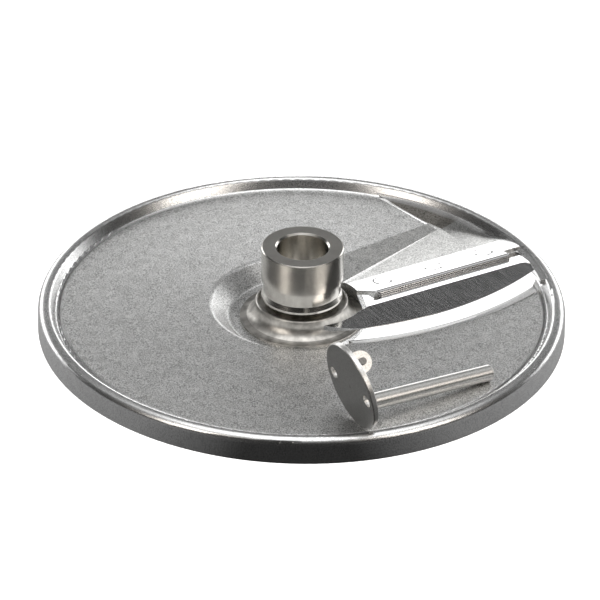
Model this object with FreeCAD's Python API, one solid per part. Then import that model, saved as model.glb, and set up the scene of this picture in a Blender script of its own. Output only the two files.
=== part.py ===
import FreeCAD, Part
import math
import os

from FreeCAD import Placement, Rotation, Vector

# Slicing disc of a vegetable-preparation machine, in millimetres.
# The origin is on the disc's axis, on the surface that its rim stands on. +Z is up, the cutting side.

# Pressed plate: top line from the hub outwards
OUTER_RADIUS = 92.5
SHEET = 1.8
FLAT_INNER_HEIGHT = 9.85
RECESS_LIP_RADIUS = 32.2
RECESS_LIP_BEND = 2.5
RECESS_FLOOR_RADIUS = 25.6
RECESS_FLOOR_BEND = 2.0
RECESS_FLOOR_HEIGHT = 4.0
RIM_WIDTH = 4.3
CREST_RADIUS = OUTER_RADIUS - RIM_WIDTH
CREST_HEIGHT = 9.5
RIM_SLOPE = 2.2
GROOVE_RADIUS = CREST_RADIUS - RIM_SLOPE
GROOVE_HEIGHT = 5.4
GROOVE_BEND = 1.0
GROOVE_WALL = 1.5
FLAT_EDGE_RADIUS = GROOVE_RADIUS - GROOVE_WALL
FLAT_EDGE_BEND = 1.5
FLAT_EDGE_HEIGHT = 6.77
CREST_INNER_BEND = 1.8
CREST_OUTER_BEND = 2.8

# Hub
HUB_HEIGHT = 32.4
HUB_RADIUS = 14.45
HUB_EDGE = 0.35
HUB_BORE_RADIUS = 9.0
HUB_BORE_EDGE = 0.6
HUB_NECK_RADIUS = 13.6
HUB_NECK_TOP = 20.3
HUB_NECK_BOTTOM = 15.5
HUB_COLLAR_RADIUS = 14.3
HUB_COLLAR_TOP = 13.8
HUB_COLLAR_BOTTOM = 13.0
HUB_SPIGOT_RADIUS = 13.0
HUB_SWAGE_RADIUS = 15.0
HUB_SWAGE_HEIGHT = 1.2
DRIVE_SLOT_WIDTH = 5.0
DRIVE_SLOT_HEIGHT = 3.6
FIT_GAP = 0.02

# Flared flange round the hub
FLANGE_FOOT_RADIUS = 21.7
FLANGE_FOOT_HEIGHT = 0.7
FLANGE_HEIGHT = 7.2
FLANGE_LIP_RADIUS = 16.2
FLANGE_LIP_WIDTH = 0.8
FLANGE_LIP_EDGE = 0.3
FLANGE_WELL_DEPTH = 2.4
FLANGE_HOLLOW = 1.9

# Knife frame: u runs out along the blade, s runs back from its edge, h is the height over the plate
KNIFE_ANGLE = 33.5
KNIFE_FALL = 0.035
KNIFE_LEVEL = 9.8
BLADE_THICKNESS = 1.8
BLADE_TILT = 0.13
BLADE_SEAT_HEIGHT = 1.67
BEVEL_LINE = 17.0
BEVEL_TILT = 0.03
EDGE_HEIGHT = 2.45
EDGE_RELIEF_ANGLE = 25.0
EDGE_RELIEF_DEPTH = 8.0
EDGE_CENTRE_U = 35.1
EDGE_CENTRE_S = 87.8
EDGE_RADIUS = 121.2
EDGE_INNER_U = 7.3
BLADE_END_GAP = 0.2
EDGE_NOSE_U = 0.6
EDGE_NOSE_S = -26.6
BLADE_INNER_RADIUS = 21.7
BLADE_TIP_TURN = -102.5
BLADE_HEEL_TURN = -60.7
BLADE_HEEL_U = 15.8
BLADE_HEEL_S = -17.3
BLADE_TAIL_U = 24.3
BLADE_TAIL_S = -11.0
BLADE_TAIL_END = 79.5
BLADE_SHOULDER_S = -7.8
BLADE_BLANK_FRONT = 40.0
BEVEL_END_MARGIN = 2.0
BEVEL_END_BEND = 3.0
RIVET_FIRST = 31.2
RIVET_PITCH = 21.4
RIVET_COUNT = 3
RIVET_S = -4.0
RIVET_HEAD_RADIUS = 2.9
RIVET_HEAD_CONE = 1.0
RIVET_HEAD_EDGE = 0.3
RIVET_SHANK_RADIUS = 1.7
RIVET_TAIL_RADIUS = 2.7
RIVET_TAIL_HEIGHT = 0.9
RIVET_TAIL_BEVEL = 0.4

# Bridge over the blade, and the pressed facets behind it
BRIDGE_FRONT = -11.9
BRIDGE_BACK = 1.5
BRIDGE_FRONT_HEIGHT = 3.55
BRIDGE_BACK_HEIGHT = 1.4
BRIDGE_BEND = 1.4
BRIDGE_START = 25.5
BRIDGE_END = 80.0
BRIDGE_STEP = -7.6
BRIDGE_NOTCH_S = -6.0
HOOD_TOP_RADIUS = 20.0
HOOD_WALL_RADIUS = 22.3
HOOD_FRONT_TOP = 10.2
HOOD_BACK_TOP = 9.3
HOOD_TOP_CHANGE = 36.0
HOOD_SIDE_INSET = 0.5
HOOD_SIDE_RUN = 1.2
HOOD_SIDE_LAP = 0.2
JOIN_RADIUS = CREST_RADIUS - 0.6
SLOT_END_RADIUS = GROOVE_RADIUS + 0.2
SLOT_CORNER_RADIUS = FLAT_EDGE_RADIUS - 1.1
SLOT_CORNER_TURN = 12.9
SLOT_END_TURN = 17.0
RIDGE_BREAK = 0.78
VALLEY_INNER_TURN = 45.2
VALLEY_INNER_HEIGHT = 9.85
VALLEY_OUTER_RADIUS = 75.9
VALLEY_OUTER_TURN = 49.9
VALLEY_OUTER_HEIGHT = 7.1
SHELF_TURN = 57.0
SHELF_START = 76.0
SHELF_HEIGHT = 5.4
SHELF_RISE = 0.14
SHELF_RADIUS = GROOVE_RADIUS + 0.9
CREASE_INNER_RADIUS = 77.4
CREASE_INNER_TURN = 50.6
CREASE_OUTER_TURN = 39.5
CHORD_END_TURN = 72.3
FACET_CORNER_RADIUS = 76.1
FACET_CORNER_TURN = 53.8
FACET_HEIGHT = 9.3
FACET_FALL_X = 0.063
FACET_FALL_Y = 0.014
FACET_X = 18.6
FACET_Y = 37.1
FACET_INNER_RADIUS = 34.2
HOOD_WALL_TURN = 69.5
LANDING_RADIUS = CREST_RADIUS + 0.7
LANDING_TURN = 13.0
LANDING_HEIGHT = 9.0
CRACK = 0.3

# Lip that leads each slice down under the blade
LIP_CENTRE_U = 38.0
LIP_CENTRE_S = 83.0
LIP_RADIUS = 122.8
LIP_BEND = 12.0
LIP_INNER_TURN = -56.5
LIP_INNER_RADIUS = RECESS_LIP_RADIUS + 13.0
LIP_OUTER_U = 77.0
LIP_ANGLE = 17.0
LIP_LENGTH = 3.8
SLOT_MARGIN = 8.0
SLOT_OVERLAP = 0.6

# Loose locking cap, which lies on the plate
CAP_RADIUS = 16.0
CAP_THICKNESS = 2.0
CAP_EDGE = 0.3
CAP_HOLE_RADIUS = 2.25
CAP_HOLE_P = 6.8
CAP_HOLE_Q = -9.3
CAP_DIMPLE_RADIUS = 0.9
CAP_DIMPLE_DEPTH = 0.4
CAP_INSET = 12.2
CAP_TURN = -77.8
CAP_P_AXIS = Vector(-0.432, 0.458, 0.777)
CAP_Q_AXIS = Vector(0.287, -0.747, 0.599)
CAP_BACK_AXIS = Vector(0.855, 0.482, 0.1915)
ROD_RADIUS = 2.9
ROD_END_ROUND = 0.8
ROD_P = -6.9
ROD_Q = -6.8
ROD_END_INSET = 12.2
ROD_END_TURN = -34.8
ROD_HIDDEN = 4.0
LUG_P = 6.2
LUG_Q = 5.0
LUG_WIDTH = 8.0
LUG_THICKNESS = 3.5
LUG_HEIGHT = 7.0
LUG_HOLE_RADIUS = 1.3
CAP_PIN_LENGTH = 6.5
CAP_PIN_RISE = 0.4
TOUCH = 0.03

UP = Vector(0, 0, 1)
ORIGIN = Vector(0, 0, 0)
FULL_TURN = 360
TALL = 60.0


def polar(radius, turn, z=0.0):
    angle = math.radians(turn)
    return Vector(radius * math.cos(angle), radius * math.sin(angle), z)


def turn_of(point):
    return math.degrees(math.atan2(point.y, point.x))


def cone_height(radius):
    """Height of the plate's slightly coned face."""
    fall = (FLAT_INNER_HEIGHT - FLAT_EDGE_HEIGHT) / (FLAT_EDGE_RADIUS - RECESS_LIP_RADIUS)
    return FLAT_INNER_HEIGHT - fall * (radius - RECESS_LIP_RADIUS)


def knife_point(u, s, h=None):
    """A point given in the knife frame; without a height it lies in the plan."""
    z = 0.0 if h is None else KNIFE_LEVEL - KNIFE_FALL * u + h
    return Rotation(UP, KNIFE_ANGLE).multVec(Vector(u, s, 0)) + Vector(0, 0, z)


def knife_reach(radius, s):
    """Distance u at which a circle about the disc's axis crosses a line of constant s."""
    return math.sqrt(radius ** 2 - s ** 2)


def knife_turn(radius, s):
    return KNIFE_ANGLE + math.degrees(math.asin(s / radius))


def in_knife_frame(shape):
    turn = Rotation(UP, KNIFE_ANGLE)
    fall = Rotation(Vector(0, 1, 0), math.degrees(math.atan(KNIFE_FALL)))
    placed = shape.copy()
    placed.Placement = Placement(Vector(0, 0, KNIFE_LEVEL), turn.multiply(fall)).multiply(shape.Placement)
    return placed


def line(first, second):
    return Part.LineSegment(first, second).toShape()


def arc(first, middle, last):
    return Part.Arc(first, middle, last).toShape()


def ring_arc(radius, start, end):
    return arc(polar(radius, start), polar(radius, (start + end) / 2), polar(radius, end))


def polygon(points):
    return Part.makePolygon(points + [points[0]])


def prism(outline, bottom, top):
    """A closed plan outline, raised from bottom to top."""
    face = Part.Face(Part.Wire(outline))
    face.translate(Vector(0, 0, bottom))
    return face.extrude(Vector(0, 0, top - bottom))


def turned(points):
    """Solid of revolution from (radius, height) points."""
    section = Part.Face(polygon([Vector(r, 0, z) for r, z in points]))
    return section.revolve(ORIGIN, UP, FULL_TURN)


def rounded_path(corners):
    """Straight runs through (point, bend radius) corners, each corner rounded by a tangent arc."""
    edges = []
    last = corners[0][0]
    for index in range(1, len(corners) - 1):
        corner, bend = corners[index]
        back = (corners[index - 1][0] - corner).normalize()
        ahead = (corners[index + 1][0] - corner).normalize()
        half = back.getAngle(ahead) / 2
        reach = bend / math.tan(half)
        inward = (back + ahead).normalize()
        start = corner + back * reach
        middle = corner + inward * (bend / math.sin(half) - bend)
        end = corner + ahead * reach
        edges.append(line(last, start))
        edges.append(arc(start, middle, end))
        last = end
    edges.append(line(last, corners[-1][0]))
    return edges


def plate_ring():
    """The full pressed disc before its knife side is formed."""
    hole = HUB_SPIGOT_RADIUS + FIT_GAP
    corners = [
        (Vector(hole, 0, RECESS_FLOOR_HEIGHT), 0),
        (Vector(RECESS_FLOOR_RADIUS, 0, RECESS_FLOOR_HEIGHT), RECESS_FLOOR_BEND),
        (Vector(RECESS_LIP_RADIUS, 0, FLAT_INNER_HEIGHT), RECESS_LIP_BEND),
        (Vector(FLAT_EDGE_RADIUS, 0, FLAT_EDGE_HEIGHT), FLAT_EDGE_BEND),
        (Vector(GROOVE_RADIUS, 0, GROOVE_HEIGHT), GROOVE_BEND),
        (Vector(CREST_RADIUS, 0, CREST_HEIGHT), CREST_INNER_BEND),
        (Vector(OUTER_RADIUS, 0, CREST_HEIGHT), CREST_OUTER_BEND),
        (Vector(OUTER_RADIUS, 0, 0), 0),
    ]
    top = Part.Wire(rounded_path(corners))
    section = top.makeOffset2D(-SHEET, 0, True, True, False)
    return section.revolve(ORIGIN, UP, FULL_TURN)


def slot_outline():
    """Plan outline of the zone ahead of the bridge, open at its front beyond the lip."""
    lip_outer_s = LIP_CENTRE_S - math.sqrt(LIP_RADIUS ** 2 - (LIP_OUTER_U - LIP_CENTRE_U) ** 2)
    lip_outer = knife_point(LIP_OUTER_U, lip_outer_s)
    corner = polar(SLOT_CORNER_RADIUS, SLOT_CORNER_TURN)
    ahead = lip_outer + (lip_outer - corner).normalize() * SLOT_MARGIN
    back = BRIDGE_STEP + SLOT_OVERLAP
    outer_turn = knife_turn(SLOT_END_RADIUS, back)
    inner_turn = knife_turn(HOOD_WALL_RADIUS, back)
    start = polar(HOOD_WALL_RADIUS, LIP_INNER_TURN)
    outside = polar(LIP_INNER_RADIUS, LIP_INNER_TURN)
    return [
        line(start, outside),
        line(outside, ahead),
        line(ahead, corner),
        line(corner, polar(SLOT_END_RADIUS, SLOT_END_TURN)),
        ring_arc(SLOT_END_RADIUS, SLOT_END_TURN, outer_turn),
        line(polar(SLOT_END_RADIUS, outer_turn), polar(HOOD_WALL_RADIUS, inner_turn)),
        ring_arc(HOOD_WALL_RADIUS, inner_turn, LIP_INNER_TURN),
    ]


def slot_cutter():
    """What the opening takes out of the disc, up to the circle at which the lip begins to bend down."""
    lip_disc = Part.makeCylinder(LIP_RADIUS, TALL, Vector(LIP_CENTRE_U, LIP_CENTRE_S, -TALL / 2))
    return prism(slot_outline(), -TALL / 2, TALL / 2).common(in_knife_frame(lip_disc))


def facet_corners():
    """Plan corners that the facets share, from the bridge's outer end round to the hood."""
    return {
        "step": knife_point(knife_reach(JOIN_RADIUS, BRIDGE_STEP), BRIDGE_STEP),
        "ridge": knife_point(knife_reach(JOIN_RADIUS, BRIDGE_BACK), BRIDGE_BACK),
        "crease": polar(SHELF_RADIUS, CREASE_OUTER_TURN),
        "chord": polar(SHELF_RADIUS, CHORD_END_TURN),
        "corner": polar(FACET_CORNER_RADIUS, FACET_CORNER_TURN),
        "lip": polar(FACET_INNER_RADIUS, HOOD_WALL_TURN),
    }


def facet_cutter():
    """What the bridge and the facets take the place of."""
    place = facet_corners()
    step_inner_turn = knife_turn(HOOD_WALL_RADIUS, BRIDGE_STEP)
    step_turn = turn_of(place["step"])
    ridge_turn = turn_of(place["ridge"])
    return prism([
        line(polar(HOOD_WALL_RADIUS, step_inner_turn), place["step"]),
        ring_arc(JOIN_RADIUS, step_turn, ridge_turn),
        line(place["ridge"], place["crease"]),
        ring_arc(SHELF_RADIUS, CREASE_OUTER_TURN, CHORD_END_TURN),
        line(place["chord"], place["corner"]),
        line(place["corner"], place["lip"]),
        line(place["lip"], polar(HOOD_WALL_RADIUS, HOOD_WALL_TURN)),
        ring_arc(HOOD_WALL_RADIUS, HOOD_WALL_TURN, step_inner_turn),
    ], -TALL / 2, TALL / 2)


def landing_outline(back_gap):
    inner_turn = knife_turn(SLOT_END_RADIUS, BRIDGE_STEP - back_gap)
    outer_turn = knife_turn(LANDING_RADIUS, BRIDGE_STEP - back_gap)
    return [
        ring_arc(SLOT_END_RADIUS, LANDING_TURN, inner_turn),
        line(polar(SLOT_END_RADIUS, inner_turn), polar(LANDING_RADIUS, outer_turn)),
        ring_arc(LANDING_RADIUS, outer_turn, LANDING_TURN),
        line(polar(LANDING_RADIUS, LANDING_TURN), polar(SLOT_END_RADIUS, LANDING_TURN)),
    ]


def bent_lip():
    """Sheet that bends down along the opening's front edge."""
    lean = math.radians(LIP_ANGLE)
    start = Vector(LIP_RADIUS, 0, 0)
    centre = Vector(LIP_RADIUS, 0, -LIP_BEND)

    def on_bend(radius, angle):
        return centre + Vector(-radius * math.sin(angle), 0, radius * math.cos(angle))

    top_end = on_bend(LIP_BEND, lean)
    run = LIP_LENGTH - LIP_BEND * math.sin(lean)
    along = Vector(-run, 0, -run * math.tan(lean))
    under = LIP_BEND - SHEET
    under_end = on_bend(under, lean)
    section = Part.Face(Part.Wire([
        arc(start, on_bend(LIP_BEND, lean / 2), top_end),
        line(top_end, top_end + along),
        line(top_end + along, under_end + along),
        line(under_end + along, under_end),
        arc(under_end, on_bend(under, lean / 2), on_bend(under, 0)),
        line(on_bend(under, 0), start),
    ]))
    sweep = section.revolve(ORIGIN, UP, FULL_TURN / 2)
    sweep.rotate(ORIGIN, UP, FULL_TURN / 2)
    sweep.translate(Vector(LIP_CENTRE_U, LIP_CENTRE_S, 0))
    return in_knife_frame(sweep).common(prism(slot_outline(), -TALL / 2, TALL / 2))


def seat_height(s):
    """Height of the blade's upper face over the plate, which is also the bridge's underside."""
    return BLADE_SEAT_HEIGHT + BLADE_TILT * (BRIDGE_FRONT - s)


def bridge_height(s):
    slope = (BRIDGE_FRONT_HEIGHT - BRIDGE_BACK_HEIGHT) / (BRIDGE_BACK - BRIDGE_FRONT)
    return BRIDGE_BACK_HEIGHT + slope * (BRIDGE_BACK - s)


def drawn_along_knife(edges):
    """Section in the plane across the knife, drawn out along it."""
    face = Part.Face(Part.Wire(edges))
    face.translate(Vector(-TALL / 2, 0, 0))
    return in_knife_frame(face.extrude(Vector(2.5 * TALL, 0, 0)))


def section_edges(points):
    corners = [Vector(0, s, h) for s, h in points]
    return [line(first, second) for first, second in zip(corners, corners[1:])]


def bridge():
    """The raised strip that holds the blade down."""
    place = facet_corners()
    behind = BRIDGE_BACK + 1.0
    front_foot = (BRIDGE_FRONT, seat_height(BRIDGE_FRONT))
    back_head = (behind, bridge_height(behind))
    back_foot = (behind, seat_height(behind))
    rounded = rounded_path([
        (Vector(0, *front_foot), 0),
        (Vector(0, BRIDGE_FRONT, BRIDGE_FRONT_HEIGHT), BRIDGE_BEND),
        (Vector(0, *back_head), 0),
    ])
    section = drawn_along_knife(rounded + section_edges([back_head, back_foot, front_foot]))
    back_turn = knife_turn(HOOD_TOP_RADIUS, BRIDGE_BACK)
    notch_turn = knife_turn(HOOD_TOP_RADIUS, BRIDGE_NOTCH_S)
    outline = [
        line(knife_point(BRIDGE_START, BRIDGE_FRONT), knife_point(BRIDGE_END, BRIDGE_FRONT)),
        line(knife_point(BRIDGE_END, BRIDGE_FRONT), knife_point(BRIDGE_END, BRIDGE_STEP)),
        line(knife_point(BRIDGE_END, BRIDGE_STEP), place["step"]),
        ring_arc(JOIN_RADIUS, turn_of(place["step"]), turn_of(place["ridge"])),
        line(place["ridge"], polar(HOOD_TOP_RADIUS, back_turn)),
        ring_arc(HOOD_TOP_RADIUS, back_turn, notch_turn),
        line(polar(HOOD_TOP_RADIUS, notch_turn), knife_point(BRIDGE_START, BRIDGE_FRONT)),
    ]
    return section.common(prism(outline, 0, TALL / 2))


def sheet_triangle(first, second, third):
    face = Part.Face(polygon([first, second, third]))
    return face.extrude(Vector(0, 0, -SHEET))


def slab(outline, height_at):
    """Sheet over a plan outline, its top in the plane that height_at gives."""
    base = Vector(0, 0, height_at(0, 0))
    along_x = Vector(1, 0, height_at(1, 0) - height_at(0, 0))
    along_y = Vector(0, 1, height_at(0, 1) - height_at(0, 0))
    size = 2 * OUTER_RADIUS
    face = Part.Face(polygon([
        base - along_x * size - along_y * size,
        base + along_x * size - along_y * size,
        base + along_x * size + along_y * size,
        base - along_x * size + along_y * size,
    ]))
    return face.extrude(Vector(0, 0, -SHEET)).common(prism(outline, -TALL, TALL))


def shelf_height(x, y):
    turn = math.radians(SHELF_TURN)
    return SHELF_HEIGHT + SHELF_RISE * (x * math.cos(turn) + y * math.sin(turn) - SHELF_START)


def facet_height(x, y):
    return FACET_HEIGHT - FACET_FALL_X * (x - FACET_X) - FACET_FALL_Y * (y - FACET_Y)


def ridge_height(radius):
    return KNIFE_LEVEL - KNIFE_FALL * knife_reach(radius, BRIDGE_BACK) + BRIDGE_BACK_HEIGHT


def back_slope():
    """The twisted slope that falls from the bridge to the valley and to the low shelf."""
    place = facet_corners()
    ridge_in = polar(HOOD_TOP_RADIUS, knife_turn(HOOD_TOP_RADIUS, BRIDGE_BACK), ridge_height(HOOD_TOP_RADIUS))
    ridge_out = place["ridge"]
    ridge_out.z = ridge_height(JOIN_RADIUS)
    ridge_mid = ridge_in + (ridge_out - ridge_in) * RIDGE_BREAK
    valley_in = polar(HOOD_TOP_RADIUS, VALLEY_INNER_TURN, VALLEY_INNER_HEIGHT)
    valley_out = polar(VALLEY_OUTER_RADIUS, VALLEY_OUTER_TURN, VALLEY_OUTER_HEIGHT)
    crease_in = polar(CREASE_INNER_RADIUS, CREASE_INNER_TURN)
    crease_in.z = shelf_height(crease_in.x, crease_in.y)
    crease_out = place["crease"]
    crease_out.z = shelf_height(crease_out.x, crease_out.y)
    return [
        sheet_triangle(ridge_in, ridge_mid, valley_out),
        sheet_triangle(ridge_in, valley_out, valley_in),
        sheet_triangle(ridge_mid, ridge_out, crease_out),
        sheet_triangle(ridge_mid, crease_out, crease_in),
        sheet_triangle(ridge_mid, crease_in, valley_out),
    ]


def level_facet():
    """The nearly level facet between the valley and the disc's own face."""
    place = facet_corners()
    valley_in = polar(HOOD_TOP_RADIUS, VALLEY_INNER_TURN)
    valley_out = polar(VALLEY_OUTER_RADIUS, VALLEY_OUTER_TURN)
    outline = [
        line(valley_in, valley_out),
        line(valley_out, place["corner"]),
        line(place["corner"], place["lip"]),
        line(place["lip"], polar(HOOD_TOP_RADIUS, HOOD_WALL_TURN)),
        ring_arc(HOOD_TOP_RADIUS, HOOD_WALL_TURN, VALLEY_INNER_TURN),
    ]
    return slab(outline, facet_height)


def low_shelf():
    """The low shelf between the chord edge, the back slope and the rim's bead."""
    place = facet_corners()
    crease_in = polar(CREASE_INNER_RADIUS, CREASE_INNER_TURN)
    valley_out = polar(VALLEY_OUTER_RADIUS, VALLEY_OUTER_TURN)
    outline = [
        line(crease_in, place["crease"]),
        ring_arc(SHELF_RADIUS, CREASE_OUTER_TURN, CHORD_END_TURN),
        line(place["chord"], place["corner"]),
        line(place["corner"], valley_out),
        line(valley_out, crease_in),
    ]
    return slab(outline, shelf_height)


def hood_wall(start, end, top):
    """Leaning wall from the recess floor up to the facets, round part of the hub."""
    lean = (HOOD_WALL_RADIUS - HOOD_TOP_RADIUS) / (HOOD_FRONT_TOP - RECESS_FLOOR_HEIGHT)
    top_radius = HOOD_WALL_RADIUS - lean * (top - RECESS_FLOOR_HEIGHT)
    under = RECESS_FLOOR_HEIGHT - SHEET
    points = [
        (HOOD_WALL_RADIUS, under),
        (HOOD_WALL_RADIUS + SHEET, under),
        (HOOD_WALL_RADIUS + SHEET, RECESS_FLOOR_HEIGHT),
        (top_radius + SHEET, top),
        (top_radius, top),
        (HOOD_WALL_RADIUS, RECESS_FLOOR_HEIGHT),
    ]
    section = Part.Face(polygon([Vector(r, 0, z) for r, z in points]))
    section.rotate(ORIGIN, UP, start)
    return section.revolve(ORIGIN, UP, end - start)


def hood_side():
    """Upright wall that closes the hood against the recess's slope."""
    under = RECESS_FLOOR_HEIGHT - SHEET
    slope_foot = RECESS_FLOOR_RADIUS - HOOD_SIDE_INSET
    slope_head = RECESS_LIP_RADIUS - HOOD_SIDE_LAP
    top = HOOD_BACK_TOP - HOOD_SIDE_LAP
    points = [
        (HOOD_WALL_RADIUS, under),
        (slope_foot, under),
        (slope_head, FLAT_INNER_HEIGHT - SHEET),
        (slope_head + HOOD_SIDE_RUN, FLAT_INNER_HEIGHT - SHEET),
        (slope_head + HOOD_SIDE_RUN, top),
        (HOOD_WALL_RADIUS, top),
    ]
    face = Part.Face(polygon([Vector(r, 0, z) for r, z in points]))
    wall = face.extrude(Vector(0, -SHEET, 0))
    wall.rotate(ORIGIN, UP, HOOD_WALL_TURN)
    return wall


def plate(rivets):
    """The pressed plate: disc, opening, lip, bridge, facets and landing in one sheet."""
    notch_turn = knife_turn(HOOD_WALL_RADIUS, BRIDGE_NOTCH_S)
    body = plate_ring()
    body = body.cut(slot_cutter())
    body = body.cut(facet_cutter())
    body = body.cut(prism(landing_outline(0.0), -TALL / 2, TALL))
    pieces = [
        bent_lip(),
        bridge(),
        level_facet(),
        low_shelf(),
        hood_wall(notch_turn, HOOD_TOP_CHANGE, HOOD_FRONT_TOP),
        hood_wall(HOOD_TOP_CHANGE, HOOD_WALL_TURN, HOOD_BACK_TOP),
        hood_side(),
        prism(landing_outline(CRACK), LANDING_HEIGHT - SHEET, LANDING_HEIGHT),
    ]
    body = body.fuse(pieces + back_slope())
    return body.cut(rivets)


def edge_point(u):
    """Point on the blade's curved edge."""
    return Vector(u, EDGE_CENTRE_S - math.sqrt(EDGE_RADIUS ** 2 - (u - EDGE_CENTRE_U) ** 2), 0)


def edge_end():
    """Outer end of the curved edge, a small gap short of the landing."""
    reach = SLOT_END_RADIUS - BLADE_END_GAP
    centre = Vector(EDGE_CENTRE_U, EDGE_CENTRE_S, 0)
    along = (reach ** 2 - EDGE_RADIUS ** 2 + centre.Length ** 2) / (2 * centre.Length)
    aside = math.sqrt(reach ** 2 - along ** 2)
    direction = centre.normalize()
    return direction * along + Vector(direction.y, -direction.x, 0) * aside


def blade_outline():
    """Plan outline of the blade in its own frame."""
    inner = edge_point(EDGE_INNER_U)
    outer = edge_end()
    shoulder_out = Vector(knife_reach(outer.Length, BLADE_SHOULDER_S), BLADE_SHOULDER_S, 0)
    outer_middle = polar(outer.Length, (turn_of(outer) + turn_of(shoulder_out)) / 2)
    shoulder_in = Vector(BLADE_TAIL_END, BLADE_SHOULDER_S, 0)
    tail_outer = Vector(BLADE_TAIL_END, 0, 0)
    tail_inner = Vector(BLADE_TAIL_U, 0, 0)
    tail_front = Vector(BLADE_TAIL_U, BLADE_TAIL_S, 0)
    heel_outer = Vector(BLADE_HEEL_U, BLADE_HEEL_S, 0)
    heel = polar(BLADE_INNER_RADIUS, BLADE_HEEL_TURN)
    inner_middle = polar(BLADE_INNER_RADIUS, (BLADE_HEEL_TURN + BLADE_TIP_TURN) / 2)
    tip = polar(BLADE_INNER_RADIUS, BLADE_TIP_TURN)
    return [
        arc(inner, edge_point(EDGE_CENTRE_U), outer),
        arc(outer, outer_middle, shoulder_out),
        line(shoulder_out, shoulder_in),
        line(shoulder_in, tail_outer),
        line(tail_outer, tail_inner),
        line(tail_inner, tail_front),
        line(tail_front, heel_outer),
        line(heel_outer, heel),
        arc(heel, inner_middle, tip),
        arc(tip, Vector(EDGE_NOSE_U, EDGE_NOSE_S, 0), inner),
    ]


def bevel_outline():
    """Plan outline of the ground bevel, with a rounded outer end short of the blade's end."""
    end = edge_end().Length - BEVEL_END_MARGIN
    corners = [
        (Vector(-TALL / 2, -BEVEL_LINE, 0), 0),
        (Vector(end, -BEVEL_LINE, 0), BEVEL_END_BEND),
        (Vector(end, -TALL, 0), 0),
    ]
    foot = Vector(-TALL / 2, -TALL, 0)
    return rounded_path(corners) + [line(corners[-1][0], foot), line(foot, corners[0][0])]


def knife_blade(rivets):
    """Ground blade: straight bevel line, curved edge, relieved below the edge."""
    front = -BLADE_BLANK_FRONT
    back = BRIDGE_BACK
    bevel_height = seat_height(-BEVEL_LINE)
    front_height = bevel_height + BEVEL_TILT * (-BEVEL_LINE - front)
    section = drawn_along_knife(section_edges([
        (back, seat_height(back)),
        (front, seat_height(front)),
        (front, front_height - BLADE_THICKNESS),
        (-BEVEL_LINE, bevel_height - BLADE_THICKNESS),
        (back, seat_height(back) - BLADE_THICKNESS),
        (back, seat_height(back)),
    ]))
    blade = in_knife_frame(prism(blade_outline(), -TALL / 2, TALL / 2)).common(section)
    above_bevel = drawn_along_knife(section_edges([
        (-BEVEL_LINE, bevel_height),
        (front, front_height),
        (front, TALL),
        (-BEVEL_LINE, TALL),
        (-BEVEL_LINE, bevel_height),
    ]))
    blade = blade.cut(above_bevel.common(in_knife_frame(prism(bevel_outline(), -TALL, 2 * TALL))))
    reach = EDGE_RELIEF_DEPTH / math.tan(math.radians(EDGE_RELIEF_ANGLE))
    over = EDGE_RADIUS + EDGE_RELIEF_DEPTH
    relief = turned([
        (over, EDGE_HEIGHT - EDGE_RELIEF_DEPTH),
        (EDGE_RADIUS - reach, EDGE_HEIGHT - EDGE_RELIEF_DEPTH),
        (EDGE_RADIUS, EDGE_HEIGHT),
        (over, EDGE_HEIGHT),
    ])
    relief.translate(Vector(EDGE_CENTRE_U, EDGE_CENTRE_S, 0))
    return blade.cut(in_knife_frame(relief)).cut(rivets)


def knife_rivets():
    """Countersunk rivets, flush with the bridge, closed by a tail under the blade."""
    head_depth = bridge_height(RIVET_S) - seat_height(RIVET_S)
    over = head_depth + RIVET_HEAD_CONE
    cone_start = head_depth - RIVET_HEAD_CONE - RIVET_HEAD_EDGE
    tail = -BLADE_THICKNESS - RIVET_TAIL_HEIGHT
    profile = [
        (0, tail),
        (RIVET_TAIL_RADIUS - RIVET_TAIL_BEVEL, tail),
        (RIVET_TAIL_RADIUS, tail + RIVET_TAIL_BEVEL),
        (RIVET_TAIL_RADIUS, -BLADE_THICKNESS),
        (RIVET_SHANK_RADIUS, -BLADE_THICKNESS),
        (RIVET_SHANK_RADIUS, cone_start),
        (RIVET_HEAD_RADIUS, cone_start + RIVET_HEAD_CONE),
        (RIVET_HEAD_RADIUS, over),
        (0, over),
    ]
    lean = -math.degrees(math.atan(BLADE_TILT))
    reach = TALL / 2
    under_top = drawn_along_knife(section_edges([
        (-reach, -reach),
        (-reach, bridge_height(-reach)),
        (reach, bridge_height(reach)),
        (reach, -reach),
        (-reach, -reach),
    ]))
    rivets = []
    for index in range(RIVET_COUNT):
        rivet = turned(profile)
        rivet.rotate(ORIGIN, Vector(1, 0, 0), lean)
        rivet.translate(Vector(RIVET_FIRST + index * RIVET_PITCH, RIVET_S, seat_height(RIVET_S)))
        rivets.append(in_knife_frame(rivet).common(under_top))
    return rivets


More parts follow.
